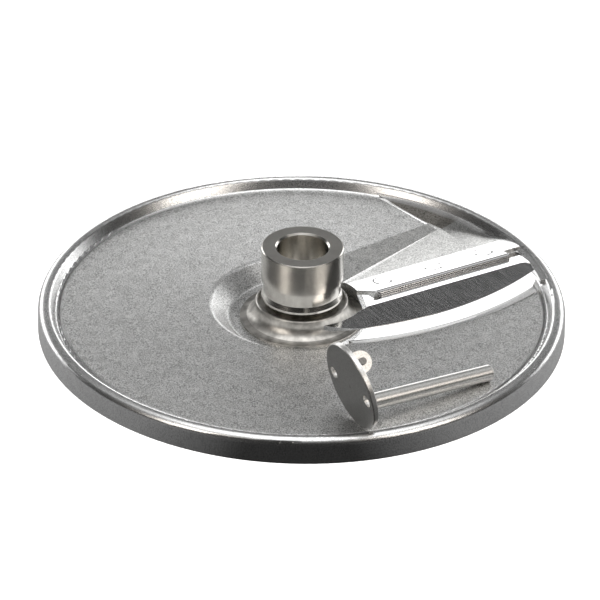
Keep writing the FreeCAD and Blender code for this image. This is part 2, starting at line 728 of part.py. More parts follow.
def hub_sleeve():
    """Turned sleeve, swaged under the plate and slotted for the drive."""
    plate_under = RECESS_FLOOR_HEIGHT - SHEET
    bottom = plate_under - HUB_SWAGE_HEIGHT
    body = turned([
        (HUB_BORE_RADIUS, bottom),
        (HUB_SWAGE_RADIUS - HUB_EDGE, bottom),
        (HUB_SWAGE_RADIUS, bottom + HUB_EDGE),
        (HUB_SWAGE_RADIUS, plate_under),
        (HUB_SPIGOT_RADIUS, plate_under),
        (HUB_SPIGOT_RADIUS, HUB_COLLAR_BOTTOM),
        (HUB_COLLAR_RADIUS, HUB_COLLAR_BOTTOM),
        (HUB_COLLAR_RADIUS, HUB_COLLAR_TOP),
        (HUB_NECK_RADIUS, HUB_NECK_BOTTOM),
        (HUB_NECK_RADIUS, HUB_NECK_TOP),
        (HUB_RADIUS, HUB_NECK_TOP + HUB_EDGE),
        (HUB_RADIUS, HUB_HEIGHT - HUB_EDGE),
        (HUB_RADIUS - HUB_EDGE, HUB_HEIGHT),
        (HUB_BORE_RADIUS + HUB_BORE_EDGE, HUB_HEIGHT),
        (HUB_BORE_RADIUS, HUB_HEIGHT - HUB_BORE_EDGE),
    ])
    length = 2 * HUB_SWAGE_RADIUS + 2
    slot = Part.makeBox(length, DRIVE_SLOT_WIDTH, DRIVE_SLOT_HEIGHT)
    slot.translate(Vector(-length / 2, -DRIVE_SLOT_WIDTH / 2, bottom))
    return body.cut(slot)


def hub_flange():
    """Turned ring with a hollow flare, a crater lip and a well round the sleeve."""
    bore = HUB_SPIGOT_RADIUS + FIT_GAP
    top = RECESS_FLOOR_HEIGHT + FLANGE_HEIGHT
    foot_top = RECESS_FLOOR_HEIGHT + FLANGE_FOOT_HEIGHT
    well = top - FLANGE_WELL_DEPTH
    flare_low = Vector(FLANGE_FOOT_RADIUS, 0, foot_top)
    flare_high = Vector(FLANGE_LIP_RADIUS, 0, top - FLANGE_LIP_EDGE)
    chord = (flare_high - flare_low).normalize()
    flare_middle = (flare_low + flare_high) * 0.5 + Vector(-chord.z, 0, chord.x) * FLANGE_HOLLOW
    lip_inner = Vector(FLANGE_LIP_RADIUS - FLANGE_LIP_WIDTH, 0, top)
    rest = [
        flare_high,
        Vector(FLANGE_LIP_RADIUS - FLANGE_LIP_EDGE, 0, top),
        lip_inner,
        Vector(lip_inner.x, 0, well),
        Vector(bore, 0, well),
        Vector(bore, 0, RECESS_FLOOR_HEIGHT),
        Vector(FLANGE_FOOT_RADIUS, 0, RECESS_FLOOR_HEIGHT),
        flare_low,
    ]
    edges = [arc(flare_low, flare_middle, flare_high)]
    for first, second in zip(rest, rest[1:]):
        edges.append(line(first, second))
    return Part.Face(Part.Wire(edges)).revolve(ORIGIN, UP, FULL_TURN)


def cap_placement():
    """Pose of the loose cap: it leans on its rim, its rod down on the plate."""
    down = (CAP_BACK_AXIS * CAP_BACK_AXIS.z - UP).normalize()
    centre = polar(OUTER_RADIUS - CAP_INSET, CAP_TURN)
    rim = centre + down * CAP_RADIUS
    centre.z = cone_height(math.hypot(rim.x, rim.y)) - TOUCH - rim.z
    return Placement(centre, Rotation(CAP_P_AXIS, CAP_Q_AXIS, CAP_BACK_AXIS, "ZXY"))


def cap_disc():
    """Flat round cover with two through holes and a centre mark."""
    body = turned([
        (0, 0),
        (CAP_RADIUS - CAP_EDGE, 0),
        (CAP_RADIUS, CAP_EDGE),
        (CAP_RADIUS, CAP_THICKNESS - CAP_EDGE),
        (CAP_RADIUS - CAP_EDGE, CAP_THICKNESS),
        (0, CAP_THICKNESS),
    ])
    for side in (1, -1):
        foot = Vector(side * CAP_HOLE_P, side * CAP_HOLE_Q, -1)
        body = body.cut(Part.makeCylinder(CAP_HOLE_RADIUS, CAP_THICKNESS + 2, foot))
    return body.cut(Part.makeCone(CAP_DIMPLE_RADIUS, 0, CAP_DIMPLE_DEPTH))


def cap_rod(placement):
    """Locking rod, welded to the cap's back at a slant, its end rounded."""
    root = placement.multVec(Vector(ROD_P, ROD_Q, CAP_THICKNESS))
    end_radius = OUTER_RADIUS - ROD_END_INSET
    end_height = cone_height(end_radius) + ROD_RADIUS - 2 * TOUCH
    axis = polar(end_radius, ROD_END_TURN, end_height) - root
    length = axis.Length
    rod = turned([
        (0, -ROD_HIDDEN),
        (ROD_RADIUS, -ROD_HIDDEN),
        (ROD_RADIUS, length - ROD_END_ROUND),
        (ROD_RADIUS - ROD_END_ROUND, length),
        (0, length),
    ])
    rod.Placement = Placement(root, Rotation(UP, axis))
    behind = Part.makeCylinder(TALL / 2, 2 * TALL, Vector(0, 0, CAP_THICKNESS))
    return rod.common(placed_by(placement, behind))


def cap_lug():
    """Upright ear on the cap's back, round at its top, with a cross hole."""
    half = LUG_WIDTH / 2
    straight = LUG_HEIGHT - half
    face = Part.Face(Part.Wire([
        line(Vector(-half, 0, 0), Vector(half, 0, 0)),
        line(Vector(half, 0, 0), Vector(half, 0, straight)),
        arc(Vector(half, 0, straight), Vector(0, 0, LUG_HEIGHT), Vector(-half, 0, straight)),
        line(Vector(-half, 0, straight), Vector(-half, 0, 0)),
    ]))
    body = face.extrude(Vector(0, LUG_THICKNESS, 0))
    body.translate(Vector(LUG_P, LUG_Q - LUG_THICKNESS / 2, CAP_THICKNESS))
    return body.cut(cap_pin())


def cap_pin():
    """Small cross pin in the lug."""
    height = CAP_THICKNESS + LUG_HEIGHT - LUG_WIDTH / 2 + CAP_PIN_RISE
    start = Vector(LUG_P, LUG_Q - CAP_PIN_LENGTH / 2, height)
    return Part.makeCylinder(LUG_HOLE_RADIUS, CAP_PIN_LENGTH, start, Vector(0, 1, 0))


def placed_by(placement, shape):
    moved = shape.copy()
    moved.Placement = placement.multiply(shape.Placement)
    return moved


def save(shape, name):
    shape.exportStep("parts/" + name + ".step")


def main():
    os.makedirs("parts", exist_ok=True)
    rivets = knife_rivets()
    placement = cap_placement()
    save(plate(rivets), "plate")
    save(knife_blade(rivets), "knife_blade")
    save(Part.makeCompound(rivets), "knife_rivets")
    save(hub_sleeve(), "hub_sleeve")
    save(hub_flange(), "hub_flange")
    save(placed_by(placement, cap_disc()), "cap_disc")
    save(cap_rod(placement), "cap_rod")
    save(placed_by(placement, cap_lug()), "cap_lug")
    save(placed_by(placement, cap_pin()), "cap_pin")


if __name__ == "__main__":
    main()
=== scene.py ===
import math

import bmesh
import bpy
from mathutils import Matrix, Vector


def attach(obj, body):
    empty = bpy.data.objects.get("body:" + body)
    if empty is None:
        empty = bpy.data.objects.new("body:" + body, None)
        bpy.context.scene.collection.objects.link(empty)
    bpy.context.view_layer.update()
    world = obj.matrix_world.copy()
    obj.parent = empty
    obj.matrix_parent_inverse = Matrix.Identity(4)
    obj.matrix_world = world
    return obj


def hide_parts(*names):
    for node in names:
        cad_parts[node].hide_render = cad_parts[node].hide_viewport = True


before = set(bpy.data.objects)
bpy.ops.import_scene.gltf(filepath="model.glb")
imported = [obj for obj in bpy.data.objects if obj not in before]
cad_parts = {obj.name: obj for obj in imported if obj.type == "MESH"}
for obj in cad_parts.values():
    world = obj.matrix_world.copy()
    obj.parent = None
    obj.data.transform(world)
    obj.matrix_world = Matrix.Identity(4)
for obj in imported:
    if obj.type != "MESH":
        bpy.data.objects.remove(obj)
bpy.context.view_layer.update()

bl_info = {
    "name": "Slicing disc",
    "version": (1, 0, 0),
    "blender": (4, 5, 0),
    "location": "View3D > Sidebar > Slicing disc",
    "description": "Dresses the pressed slicing disc, its knife, hub and loose cap",
    "category": "Object",
}

MM = 0.001
IMAGE_SIZE = 600
SENSOR = 36.0
FOCAL_PIXELS = 9232.9
VIEW_ELEVATION = 30.494
VIEW_DISTANCE = 3236.7 * MM
VIEW_ROLL = 0.015
VIEW_CENTRE = Vector((-0.646, 0.0, 10.724)) * MM

# Where the frame's plate has its forms; radii from the axis, turns in degrees from +X
HOOD_RADIUS = 20.0 * MM
FLAT_EDGE_RADIUS = 84.5 * MM
SLOT_END_RADIUS = 86.2 * MM
JOIN_RADIUS = 87.6 * MM
LANDING_RADIUS = 88.9 * MM
LANDING_TURNS = (12.0, 29.0)
FACET_TURN = 72.5
FACET_TOP = 14.0 * MM
VALLEY = [(14.09 * MM, 14.19 * MM), (48.89 * MM, 58.06 * MM)]
CHORD = [(0.0, 0.0), (11.977 * MM, 32.034 * MM), (44.945 * MM, 61.409 * MM), (26.421 * MM, 82.786 * MM)]

# The knife's own frame: distances along the knife and back from its edge
KNIFE_ANGLE = 33.5
BRIDGE_START = 22.0 * MM
BRIDGE_FRONT = -12.1 * MM
BRIDGE_BEND_END = -9.5 * MM
BRIDGE_BACK = 1.5 * MM
BRIDGE_LAP = 1.2 * MM
BRIDGE_LOW = 9.0 * MM
BRIDGE_TILT = Vector((0.035, 0.1604, 1.0)).normalized()
BRIDGE_NORMAL = Matrix.Rotation(math.radians(KNIFE_ANGLE), 3, "Z") @ BRIDGE_TILT
BRIDGE_MATCH = 0.9997
LIP_CENTRE = (38.0 * MM, 83.0 * MM)
LIP_REACH = 122.8 * MM
LIP_END = -0.1 * MM
LIP_START = 4.5 * MM
RIVET_FIRST = 31.2 * MM
RIVET_PITCH = 21.4 * MM
RIVET_BACK = -4.0 * MM
RIVET_LINE_RADIUS = 3.2 * MM
RIVET_LINE_HALF = 0.4 * MM

# The rolled edge along the facets' straight outer edge
ROLL_WIDTH = 2.0 * MM
ROLL_DEPTH = 0.45 * MM
ROLL_FADE = 1.0 * MM
ROLL_SLACK = 0.05 * MM
ROLL_STEPS = 5
# The band along the fold, smoother and lighter: its lighter colour is a painted highlight
HIGHLIGHT_BAND_WIDTH = 1.5 * MM
HIGHLIGHT_BAND_SIDE_FADE = 0.3 * MM
HIGHLIGHT_BAND_END_FADE = 0.6 * MM

# A face counts as level, or as the cap's front, when its normal matches by more than this
FACE_MATCH = 0.9
STEEP = 0.5
CAP_FRONT = Vector((-0.855, -0.482, -0.1915))
MERGE = 0.001 * MM
SLIVER = 0.002 * MM
SMOOTH_SHEET = 28.0
SMOOTH_TURNED = 12.0
SMOOTH_GROUND = 1.5

# The values of the plate's finish attribute, which also paints shade on the facets and a highlight on the lip
BLASTED = 0.0
UPPER_FACET = 0.25
SHELF = 0.375
LOWER_FACET = 0.5
LIP = 0.75
BRIDGE = 1.0

# Studio: lamps as name, azimuth, elevation, width, height, power; radii of the floor's glow for reflections
LAMP_DISTANCE = 1.2
LAMP_COLOUR = "#FFF8F0"
LAMPS = [
    ("left_softbox", 221.0, 32.0, 0.46, 0.60, 2.5),
    ("right_softbox", 324.0, 34.0, 0.60, 0.60, 3.0),
]
ROOM_STRENGTH = 1.7
FLOOR_HALF = 4.0
UNDER_DISC = (88.0 * MM, 92.0 * MM)
UNDER_BORE = (24.0 * MM, 26.0 * MM)


def linear(colour_hex):
    """An sRGB hex colour as linear RGBA."""
    channels = [int(colour_hex[index:index + 2], 16) / 255 for index in (1, 3, 5)]
    curve = [c / 12.92 if c <= 0.04045 else ((c + 0.055) / 1.055) ** 2.4 for c in channels]
    return (*curve, 1.0)


def new_tree(holder):
    """The emptied node tree of a new material or world."""
    holder.use_nodes = True
    holder.node_tree.nodes.clear()
    return holder.node_tree


def add(tree, kind, settings=None, inputs=None):
    """Adds one node; an input is a value, a socket to link from, or a node, which gives its first output."""
    node = tree.nodes.new(kind)
    for name, value in (settings or {}).items():
        setattr(node, name, value)
    for name, value in (inputs or {}).items():
        if isinstance(value, bpy.types.Node):
            value = value.outputs[0]
        if isinstance(value, bpy.types.NodeSocket):
            tree.links.new(value, node.inputs[name])
        else:
            node.inputs[name].default_value = value
    return node


def set_ramp(node, stops):
    """Colour ramp stops as (position, grey or colour)."""
    elements = node.color_ramp.elements
    while len(elements) > len(stops):
        elements.remove(elements[-1])
    while len(elements) < len(stops):
        elements.new(1.0)
    for element, (position, value) in zip(elements, stops):
        element.position = position
        element.color = value if len(value) == 4 else (*value, 1.0)
    return node


def grey(value):
    return (value, value, value, 1.0)


# A real blasted dimple is about 0.1 mm wide, a turning mark 0.15 mm and a grinding line 0.05 mm. All three
# are too fine to show at the photograph's size, so their defaults are coarser.
class DiscSizes(bpy.types.PropertyGroup):
    """Sizes of the finish on the disc's pieces."""

    edge_round: bpy.props.FloatProperty(
        name="Edge rounding", description="Radius of the broken edges, as the light sees them",
        default=0.12 * MM, unit="LENGTH", min=0.0)
    blast_grain: bpy.props.FloatProperty(
        name="Blast grain", description="Width of one dimple of the blasted plate",
        default=0.42 * MM, unit="LENGTH", min=0.0)
    turning_pitch: bpy.props.FloatProperty(
        name="Turning pitch", description="Distance between the turning marks on the hub",
        default=0.45 * MM, unit="LENGTH", min=0.0)
    grinding_pitch: bpy.props.FloatProperty(
        name="Grinding pitch", description="Distance between the grinding lines on the blade",
        default=0.25 * MM, unit="LENGTH", min=0.0)


def colour_property(name, description, colour_hex):
    return bpy.props.FloatVectorProperty(
        name=name, description=description, subtype="COLOR", size=4, min=0.0, max=1.0,
        default=linear(colour_hex))


class DiscColours(bpy.types.PropertyGroup):
    """Colours of the metals."""

    plate: colour_property("Plate", "Blasted stainless plate", "#E4E4E3")
    blade: colour_property("Blade", "Ground blade", "#E4E4E4")
    hub: colour_property("Hub", "Turned hub", "#D6D3CD")
    cap: colour_property("Cap", "Tumbled cap", "#E0DFDC")
    # The facet colours are darker than the plate: painted shade on the facets behind the knife, deepest on the
    # shelf outside the chord.
    upper_facet_shade: colour_property("Upper facet", "Plate between chord and valley", "#D2D2D0")
    shelf_shade: colour_property("Shelf", "Plate outside the chord", "#A8A49E")
    lower_facet_shade: colour_property("Lower facet", "Plate between valley and bridge", "#D6D6D4")


def metal(name, sizes, colour, roughness):
    """A metal material with its shader, its object coordinates and a normal that is soft at the edges."""
    material = bpy.data.materials.new(name)
    tree = new_tree(material)
    place = add(tree, "ShaderNodeTexCoord").outputs["Object"]
    soft = add(tree, "ShaderNodeBevel", {"samples": 4}, {"Radius": sizes.edge_round})
    shader = add(tree, "ShaderNodeBsdfPrincipled", {}, {
        "Base Color": colour, "Metallic": 1.0, "Roughness": roughness, "Normal": soft})
    add(tree, "ShaderNodeOutputMaterial", {}, {"Surface": shader})
    return material, tree, place, shader, soft


def speckle(tree, place, size, colour, darkest):
    """A colour that fine dark dimples break up, and the dimples."""
    dimples = add(tree, "ShaderNodeTexNoise", {}, {
        "Vector": place, "Scale": 1 / size, "Detail": 1.5, "Roughness": 0.6})
    cloud = add(tree, "ShaderNodeTexNoise", {}, {"Vector": place, "Scale": 0.12 / size, "Detail": 4.0})
    both = add(tree, "ShaderNodeMath", {"operation": "MULTIPLY_ADD"}, {0: cloud, 1: 0.2, 2: dimples})
    shade = add(tree, "ShaderNodeMapRange", {}, {
        "Value": both, "From Min": 0.46, "From Max": 0.68, "To Min": darkest, "To Max": 1.0})
    tint = add(tree, "ShaderNodeMixRGB", {"blend_type": "MULTIPLY"}, {
        "Fac": 1.0, "Color1": colour, "Color2": shade})
    return tint, dimples


def beside_line(tree, place, start, end):
    """Distances of a point to the left of a line in the plan, and along it."""
    along = Vector((end[0] - start[0], end[1] - start[1], 0.0)).normalized()
    left = Vector((-along.y, along.x, 0.0))
    offset = add(tree, "ShaderNodeVectorMath", {"operation": "SUBTRACT"}, {0: place, 1: (*start, 0.0)})
    reaches = []
    for way in (left, along):
        reach = add(tree, "ShaderNodeVectorMath", {"operation": "DOT_PRODUCT"}, {0: offset, 1: way})
        reaches.append(reach.outputs["Value"])
    return reaches


def glossy_highlight_band(tree, place, start, end, width):
    """1 on a band to the left of a line in the plan, which is made smoother and lighter: a painted highlight
    along the fold.
    """
    aside, ahead = beside_line(tree, place, start, end)
    length = math.dist(start, end)
    steps = []
    for reach, low, high in (
            (aside, -HIGHLIGHT_BAND_SIDE_FADE, 0.0),
            (aside, width + HIGHLIGHT_BAND_SIDE_FADE, width),
            (ahead, -HIGHLIGHT_BAND_END_FADE, HIGHLIGHT_BAND_END_FADE),
            (ahead, length + HIGHLIGHT_BAND_END_FADE, length - HIGHLIGHT_BAND_END_FADE)):
        steps.append(add(tree, "ShaderNodeMapRange", {"interpolation_type": "SMOOTHSTEP"}, {
            "Value": reach, "From Min": low, "From Max": high}))
    across = add(tree, "ShaderNodeMath", {"operation": "MULTIPLY"}, {0: steps[0], 1: steps[1]})
    lengthwise = add(tree, "ShaderNodeMath", {"operation": "MULTIPLY"}, {0: steps[2], 1: steps[3]})
    return add(tree, "ShaderNodeMath", {"operation": "MULTIPLY"}, {0: across, 1: lengthwise})


def plan_length(tree, across, up):
    """Length of a vector in the plan."""
    flat = add(tree, "ShaderNodeCombineXYZ", {}, {"X": across, "Y": up})
    return add(tree, "ShaderNodeVectorMath", {"operation": "LENGTH"}, {0: flat}).outputs["Value"]


def rivet_outline(tree, place):
    """1 on the faint, broken outlines of the rivets in the bridge."""
    turned = add(tree, "ShaderNodeVectorRotate", {"rotation_type": "Z_AXIS"}, {
        "Vector": place, "Angle": -math.radians(KNIFE_ANGLE)})
    along, back, _ = add(tree, "ShaderNodeSeparateXYZ", {}, {"Vector": turned}).outputs
    shifted = add(tree, "ShaderNodeMath", {"operation": "ADD"}, {0: along, 1: RIVET_PITCH / 2 - RIVET_FIRST})
    cell = add(tree, "ShaderNodeMath", {"operation": "FLOORED_MODULO"}, {0: shifted, 1: RIVET_PITCH})
    aside = add(tree, "ShaderNodeMath", {"operation": "SUBTRACT"}, {0: cell, 1: RIVET_PITCH / 2})
    behind = add(tree, "ShaderNodeMath", {"operation": "SUBTRACT"}, {0: back, 1: RIVET_BACK})
    ring = add(tree, "ShaderNodeMath", {"operation": "COMPARE"}, {
        0: plan_length(tree, aside, behind), 1: RIVET_LINE_RADIUS, 2: RIVET_LINE_HALF})
    breaks = add(tree, "ShaderNodeTexNoise", {}, {"Vector": place, "Scale": 420.0, "Detail": 1.0})
    kept = add(tree, "ShaderNodeMapRange", {"interpolation_type": "SMOOTHSTEP"}, {
        "Value": breaks, "From Min": 0.46, "From Max": 0.54})
    return add(tree, "ShaderNodeMath", {"operation": "MULTIPLY"}, {0: ring, 1: kept})


def blasted_stainless(sizes, colours):
    """Pressed stainless sheet: a soft grey sheen with a fine dark grain; a painted highlight on the smoother
    fold band and on the lip, painted shade on the facets.
    """
    material, tree, place, shader, soft = metal("blasted_stainless", sizes, colours.plate, 0.40)
    finish_and_painted_light = add(tree, "ShaderNodeAttribute", {"attribute_name": "finish_and_painted_light"}).outputs["Fac"]
    # The facets behind the knife get darker colours, painted shade that is deepest on the shelf.
    sheet = set_ramp(add(tree, "ShaderNodeValToRGB", {}, {"Fac": finish_and_painted_light}), [
        (BLASTED, colours.plate), (UPPER_FACET, colours.upper_facet_shade), (SHELF, colours.shelf_shade),
        (LOWER_FACET, colours.lower_facet_shade)])
    colour, grain = speckle(tree, place, sizes.blast_grain, sheet, 0.36)
    across, up, _ = add(tree, "ShaderNodeSeparateXYZ", {}, {"Vector": place}).outputs
    rim = add(tree, "ShaderNodeMapRange", {"interpolation_type": "SMOOTHSTEP"}, {
        "Value": plan_length(tree, across, up),
        "From Min": FLAT_EDGE_RADIUS - 0.8 * MM, "From Max": FLAT_EDGE_RADIUS + 0.4 * MM})
    flat = add(tree, "ShaderNodeMath", {"operation": "SUBTRACT"}, {0: 1.0, 1: rim})
    # The band along the rolled fold is smoother, and its lighter colour is a painted highlight.
    edge = add(tree, "ShaderNodeMath", {"operation": "MULTIPLY"}, {
        0: flat, 1: glossy_highlight_band(tree, place, CHORD[2], CHORD[3], HIGHLIGHT_BAND_WIDTH)})

    pressed = set_ramp(add(tree, "ShaderNodeValToRGB", {}, {"Fac": finish_and_painted_light}), [
        (BLASTED, grey(0.41)), (LOWER_FACET, grey(0.30)), (LIP, grey(0.28)), (BRIDGE, grey(0.17))])
    rough = add(tree, "ShaderNodeMixRGB", {}, {"Fac": rim, "Color1": pressed, "Color2": grey(0.27)})
    rough = add(tree, "ShaderNodeMixRGB", {}, {"Fac": edge, "Color1": rough, "Color2": grey(0.20)})
    tree.links.new(rough.outputs["Color"], shader.inputs["Roughness"])

    # The lip's partly lighter, unspeckled colour is a painted highlight along the slot; the bridge's full blend
    # is its polish.
    smooth = set_ramp(add(tree, "ShaderNodeValToRGB", {}, {"Fac": finish_and_painted_light}), [
        (BLASTED, grey(0.0)), (LOWER_FACET, grey(0.0)), (LIP, grey(0.6)), (BRIDGE, grey(1.0))])
    # The rim is lighter and less speckled; the fold band adds its painted highlight.
    worn = add(tree, "ShaderNodeMath", {"operation": "MULTIPLY"}, {0: rim, 1: 0.6})
    worn = add(tree, "ShaderNodeMath", {"operation": "ADD"}, {0: worn, 1: edge})
    calm = add(tree, "ShaderNodeMath", {"operation": "MAXIMUM"}, {0: smooth, 1: worn})
    tint = add(tree, "ShaderNodeMixRGB", {}, {"Fac": calm, "Color1": colour, "Color2": colours.blade})
    outline = add(tree, "ShaderNodeMath", {"operation": "MULTIPLY"}, {0: rivet_outline(tree, place), 1: smooth})
    lined = add(tree, "ShaderNodeMixRGB", {"blend_type": "MULTIPLY"}, {
        "Fac": outline, "Color1": tint, "Color2": grey(0.03)})
    tree.links.new(lined.outputs["Color"], shader.inputs["Base Color"])
    bump = add(tree, "ShaderNodeBump", {}, {
        "Height": grain, "Strength": 0.35, "Distance": 0.02 * MM, "Normal": soft})
    tree.links.new(bump.outputs["Normal"], shader.inputs["Normal"])
    return material


def ground_stainless(sizes, colours, name, roughness):
    """Ground blade steel: a near mirror, with fine lines across the blade in its gloss."""
    material, tree, place, shader, _ = metal(name, sizes, colours.blade, roughness)
    turned = add(tree, "ShaderNodeMapping", {}, {
        "Vector": place, "Rotation": (0.0, 0.0, -math.radians(KNIFE_ANGLE))})
    stretched = add(tree, "ShaderNodeMapping", {}, {"Vector": turned, "Scale": (1.0, 0.03, 0.03)})
    lines = add(tree, "ShaderNodeTexNoise", {}, {
        "Vector": stretched, "Scale": 1 / sizes.grinding_pitch, "Detail": 2.0})
    gloss = add(tree, "ShaderNodeMapRange", {}, {
        "Value": lines, "From Min": 0.35, "From Max": 0.65,
        "To Min": roughness - 0.03, "To Max": roughness + 0.03})
    tree.links.new(gloss.outputs["Result"], shader.inputs["Roughness"])
    return material


def turned_stainless(sizes, colours, name, roughness, wear):
    """Turned stainless: rings of fine tool marks round the axis, duller on level faces, which are also darkened
    as painted shade.
    """
    material, tree, place, shader, soft = metal(name, sizes, colours.hub, roughness)
    finish_and_painted_light = add(tree, "ShaderNodeAttribute", {"attribute_name": "finish_and_painted_light"}).outputs["Fac"]
    dull = add(tree, "ShaderNodeMapRange", {}, {
        "Value": finish_and_painted_light, "To Min": roughness, "To Max": roughness + 0.10})
    tree.links.new(dull.outputs["Result"], shader.inputs["Roughness"])

    patina = add(tree, "ShaderNodeTexNoise", {}, {"Vector": place, "Scale": 260.0, "Detail": 3.0})
    worn = add(tree, "ShaderNodeMapRange", {}, {
        "Value": patina, "From Min": 0.35, "From Max": 0.65, "To Min": 1.0 - wear, "To Max": 1.0})
    # Level faces darker: painted shade.
    painted_level_shade = add(tree, "ShaderNodeMapRange", {}, {"Value": finish_and_painted_light, "To Min": 1.0, "To Max": 0.6})
    shade = add(tree, "ShaderNodeMath", {"operation": "MULTIPLY"}, {0: worn, 1: painted_level_shade})
    tint = add(tree, "ShaderNodeMixRGB", {"blend_type": "MULTIPLY"}, {
        "Fac": 1.0, "Color1": colours.hub, "Color2": shade})
    tree.links.new(tint.outputs["Color"], shader.inputs["Base Color"])

    across, up, height = add(tree, "ShaderNodeSeparateXYZ", {}, {"Vector": place}).outputs
    profile = add(tree, "ShaderNodeCombineXYZ", {}, {"X": plan_length(tree, across, up), "Y": height})
    rings = add(tree, "ShaderNodeTexNoise", {}, {
        "Vector": profile, "Scale": 1 / sizes.turning_pitch, "Detail": 2.0})
    bump = add(tree, "ShaderNodeBump", {}, {
        "Height": rings, "Strength": 0.12, "Distance": 0.01 * MM, "Normal": soft})
    tree.links.new(bump.outputs["Normal"], shader.inputs["Normal"])
    return material


def satin_stainless(sizes, colours, name, roughness):
    """Tumbled stainless of the loose cap: satin, with small dark rubs, and painted shade on its front."""
    material, tree, place, shader, soft = metal(name, sizes, colours.cap, roughness)
    colour, grain = speckle(tree, place, sizes.blast_grain * 1.4, colours.cap, 0.8)
    finish_and_painted_light = add(tree, "ShaderNodeAttribute", {"attribute_name": "finish_and_painted_light"}).outputs["Fac"]
    # Marked faces darken to 0.4 of the colour: the cap's front, as painted shade, and every face of the pin.
    tint = add(tree, "ShaderNodeMixRGB", {"blend_type": "MULTIPLY"}, {
        "Fac": finish_and_painted_light, "Color1": colour, "Color2": grey(0.4)})
    tree.links.new(tint.outputs["Color"], shader.inputs["Base Color"])
    bump = add(tree, "ShaderNodeBump", {}, {
        "Height": grain, "Strength": 0.3, "Distance": 0.02 * MM, "Normal": soft})
    tree.links.new(bump.outputs["Normal"], shader.inputs["Normal"])
    return material


def knife_frame(point):
    """Distance along the knife and back from its edge, of a point over the plate."""
    turn = math.radians(KNIFE_ANGLE)
    return (point.x * math.cos(turn) + point.y * math.sin(turn),
            point.y * math.cos(turn) - point.x * math.sin(turn))


def lip_distance(along, back):
    """Distance of a point in the knife frame from the centre of the lip's curve."""
    return math.hypot(along - LIP_CENTRE[0], back - LIP_CENTRE[1])


def forming_of(face):
    """How the press left a face of the plate, which also picks the facets that get painted shade and the lip
    that gets a painted highlight.
    """
    centre = face.calc_center_median()
    along, back = knife_frame(centre)
    turn = math.degrees(math.atan2(centre.y, centre.x))
    radius = centre.xy.length
    in_landing = LANDING_TURNS[0] < turn < LANDING_TURNS[1] and SLOT_END_RADIUS < radius < LANDING_RADIUS
    if in_landing and face.normal.z > FACE_MATCH:
        return LOWER_FACET
    if face.normal.dot(BRIDGE_NORMAL) > BRIDGE_MATCH and back < BRIDGE_BACK + BRIDGE_LAP:
        return BRIDGE
    if BRIDGE_FRONT < back < BRIDGE_BEND_END and along > BRIDGE_START and radius < JOIN_RADIUS:
        return BRIDGE if centre.z > BRIDGE_LOW else BLASTED
    if face.normal.z < STEEP:
        return BLASTED
    if along > 0 and LIP_END < LIP_REACH - lip_distance(along, back) < LIP_START:
        return LIP
    if HOOD_RADIUS < radius < JOIN_RADIUS and back >= BRIDGE_BACK and turn < FACET_TURN and centre.z < FACET_TOP:
        return facet_of(centre)
    return BLASTED


def facet_of(point):
    """Which facet behind the knife a point lies on, as its forming value."""
    if not is_left_of(point, *VALLEY):
        return LOWER_FACET
    if not is_left_of(point, CHORD[2], CHORD[3]):
        return SHELF
    if is_left_of(point, CHORD[0], CHORD[1]) or is_left_of(point, CHORD[1], CHORD[2]):
        return BLASTED
    return UPPER_FACET


def is_left_of(point, start, end):
    """Whether a point lies to the left of a line in the plan."""
    return (end[0] - start[0]) * (point.y - start[1]) - (end[1] - start[1]) * (point.x - start[0]) > 0


def level_of(face):
    """1 on faces that look straight up, 0 on the others."""
    return 1.0 if face.normal.z > FACE_MATCH else 0.0


def painted_shade_front_of(face):
    """1 on the front of the cap, which is darkened as painted shade, 0 on its turned edges."""
    return 1.0 if face.normal.dot(CAP_FRONT) > FACE_MATCH else 0.0


# Marks every face, so the whole pin's colour is darkened.
def darkened_all_over(face):
    return 1.0


def finished_copy(node, name, material, smooth_angle, finish_and_painted_light=None, reshape=None):
    """A merged copy of a frame node with smooth faces and even normals, in the node's place."""
    work = bmesh.new()
    work.from_mesh(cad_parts[node].data)
    bmesh.ops.remove_doubles(work, verts=work.verts, dist=MERGE)
    bmesh.ops.dissolve_degenerate(work, edges=work.edges, dist=SLIVER)
    bmesh.ops.recalc_face_normals(work, faces=work.faces)
    if reshape:
        reshape(work)
    for face in work.faces:
        face.smooth = True
        face.material_index = 0
    for edge in work.edges:
        if len(edge.link_faces) == 2:
            edge.smooth = edge.calc_face_angle(math.pi) < math.radians(smooth_angle)
    if finish_and_painted_light:
        layer = work.faces.layers.float.new("finish_and_painted_light")
        for face in work.faces:
            face[layer] = finish_and_painted_light(face)
    mesh = bpy.data.meshes.new(name)
    work.to_mesh(mesh)
    work.free()
    mesh.materials.append(material)
    piece = bpy.data.objects.new(name, mesh)
    bpy.context.scene.collection.objects.link(piece)
    even = piece.modifiers.new("even_normals", "WEIGHTED_NORMAL")
    even.keep_sharp = True
    even.weight = 100
    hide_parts(node)
    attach(piece, "root")


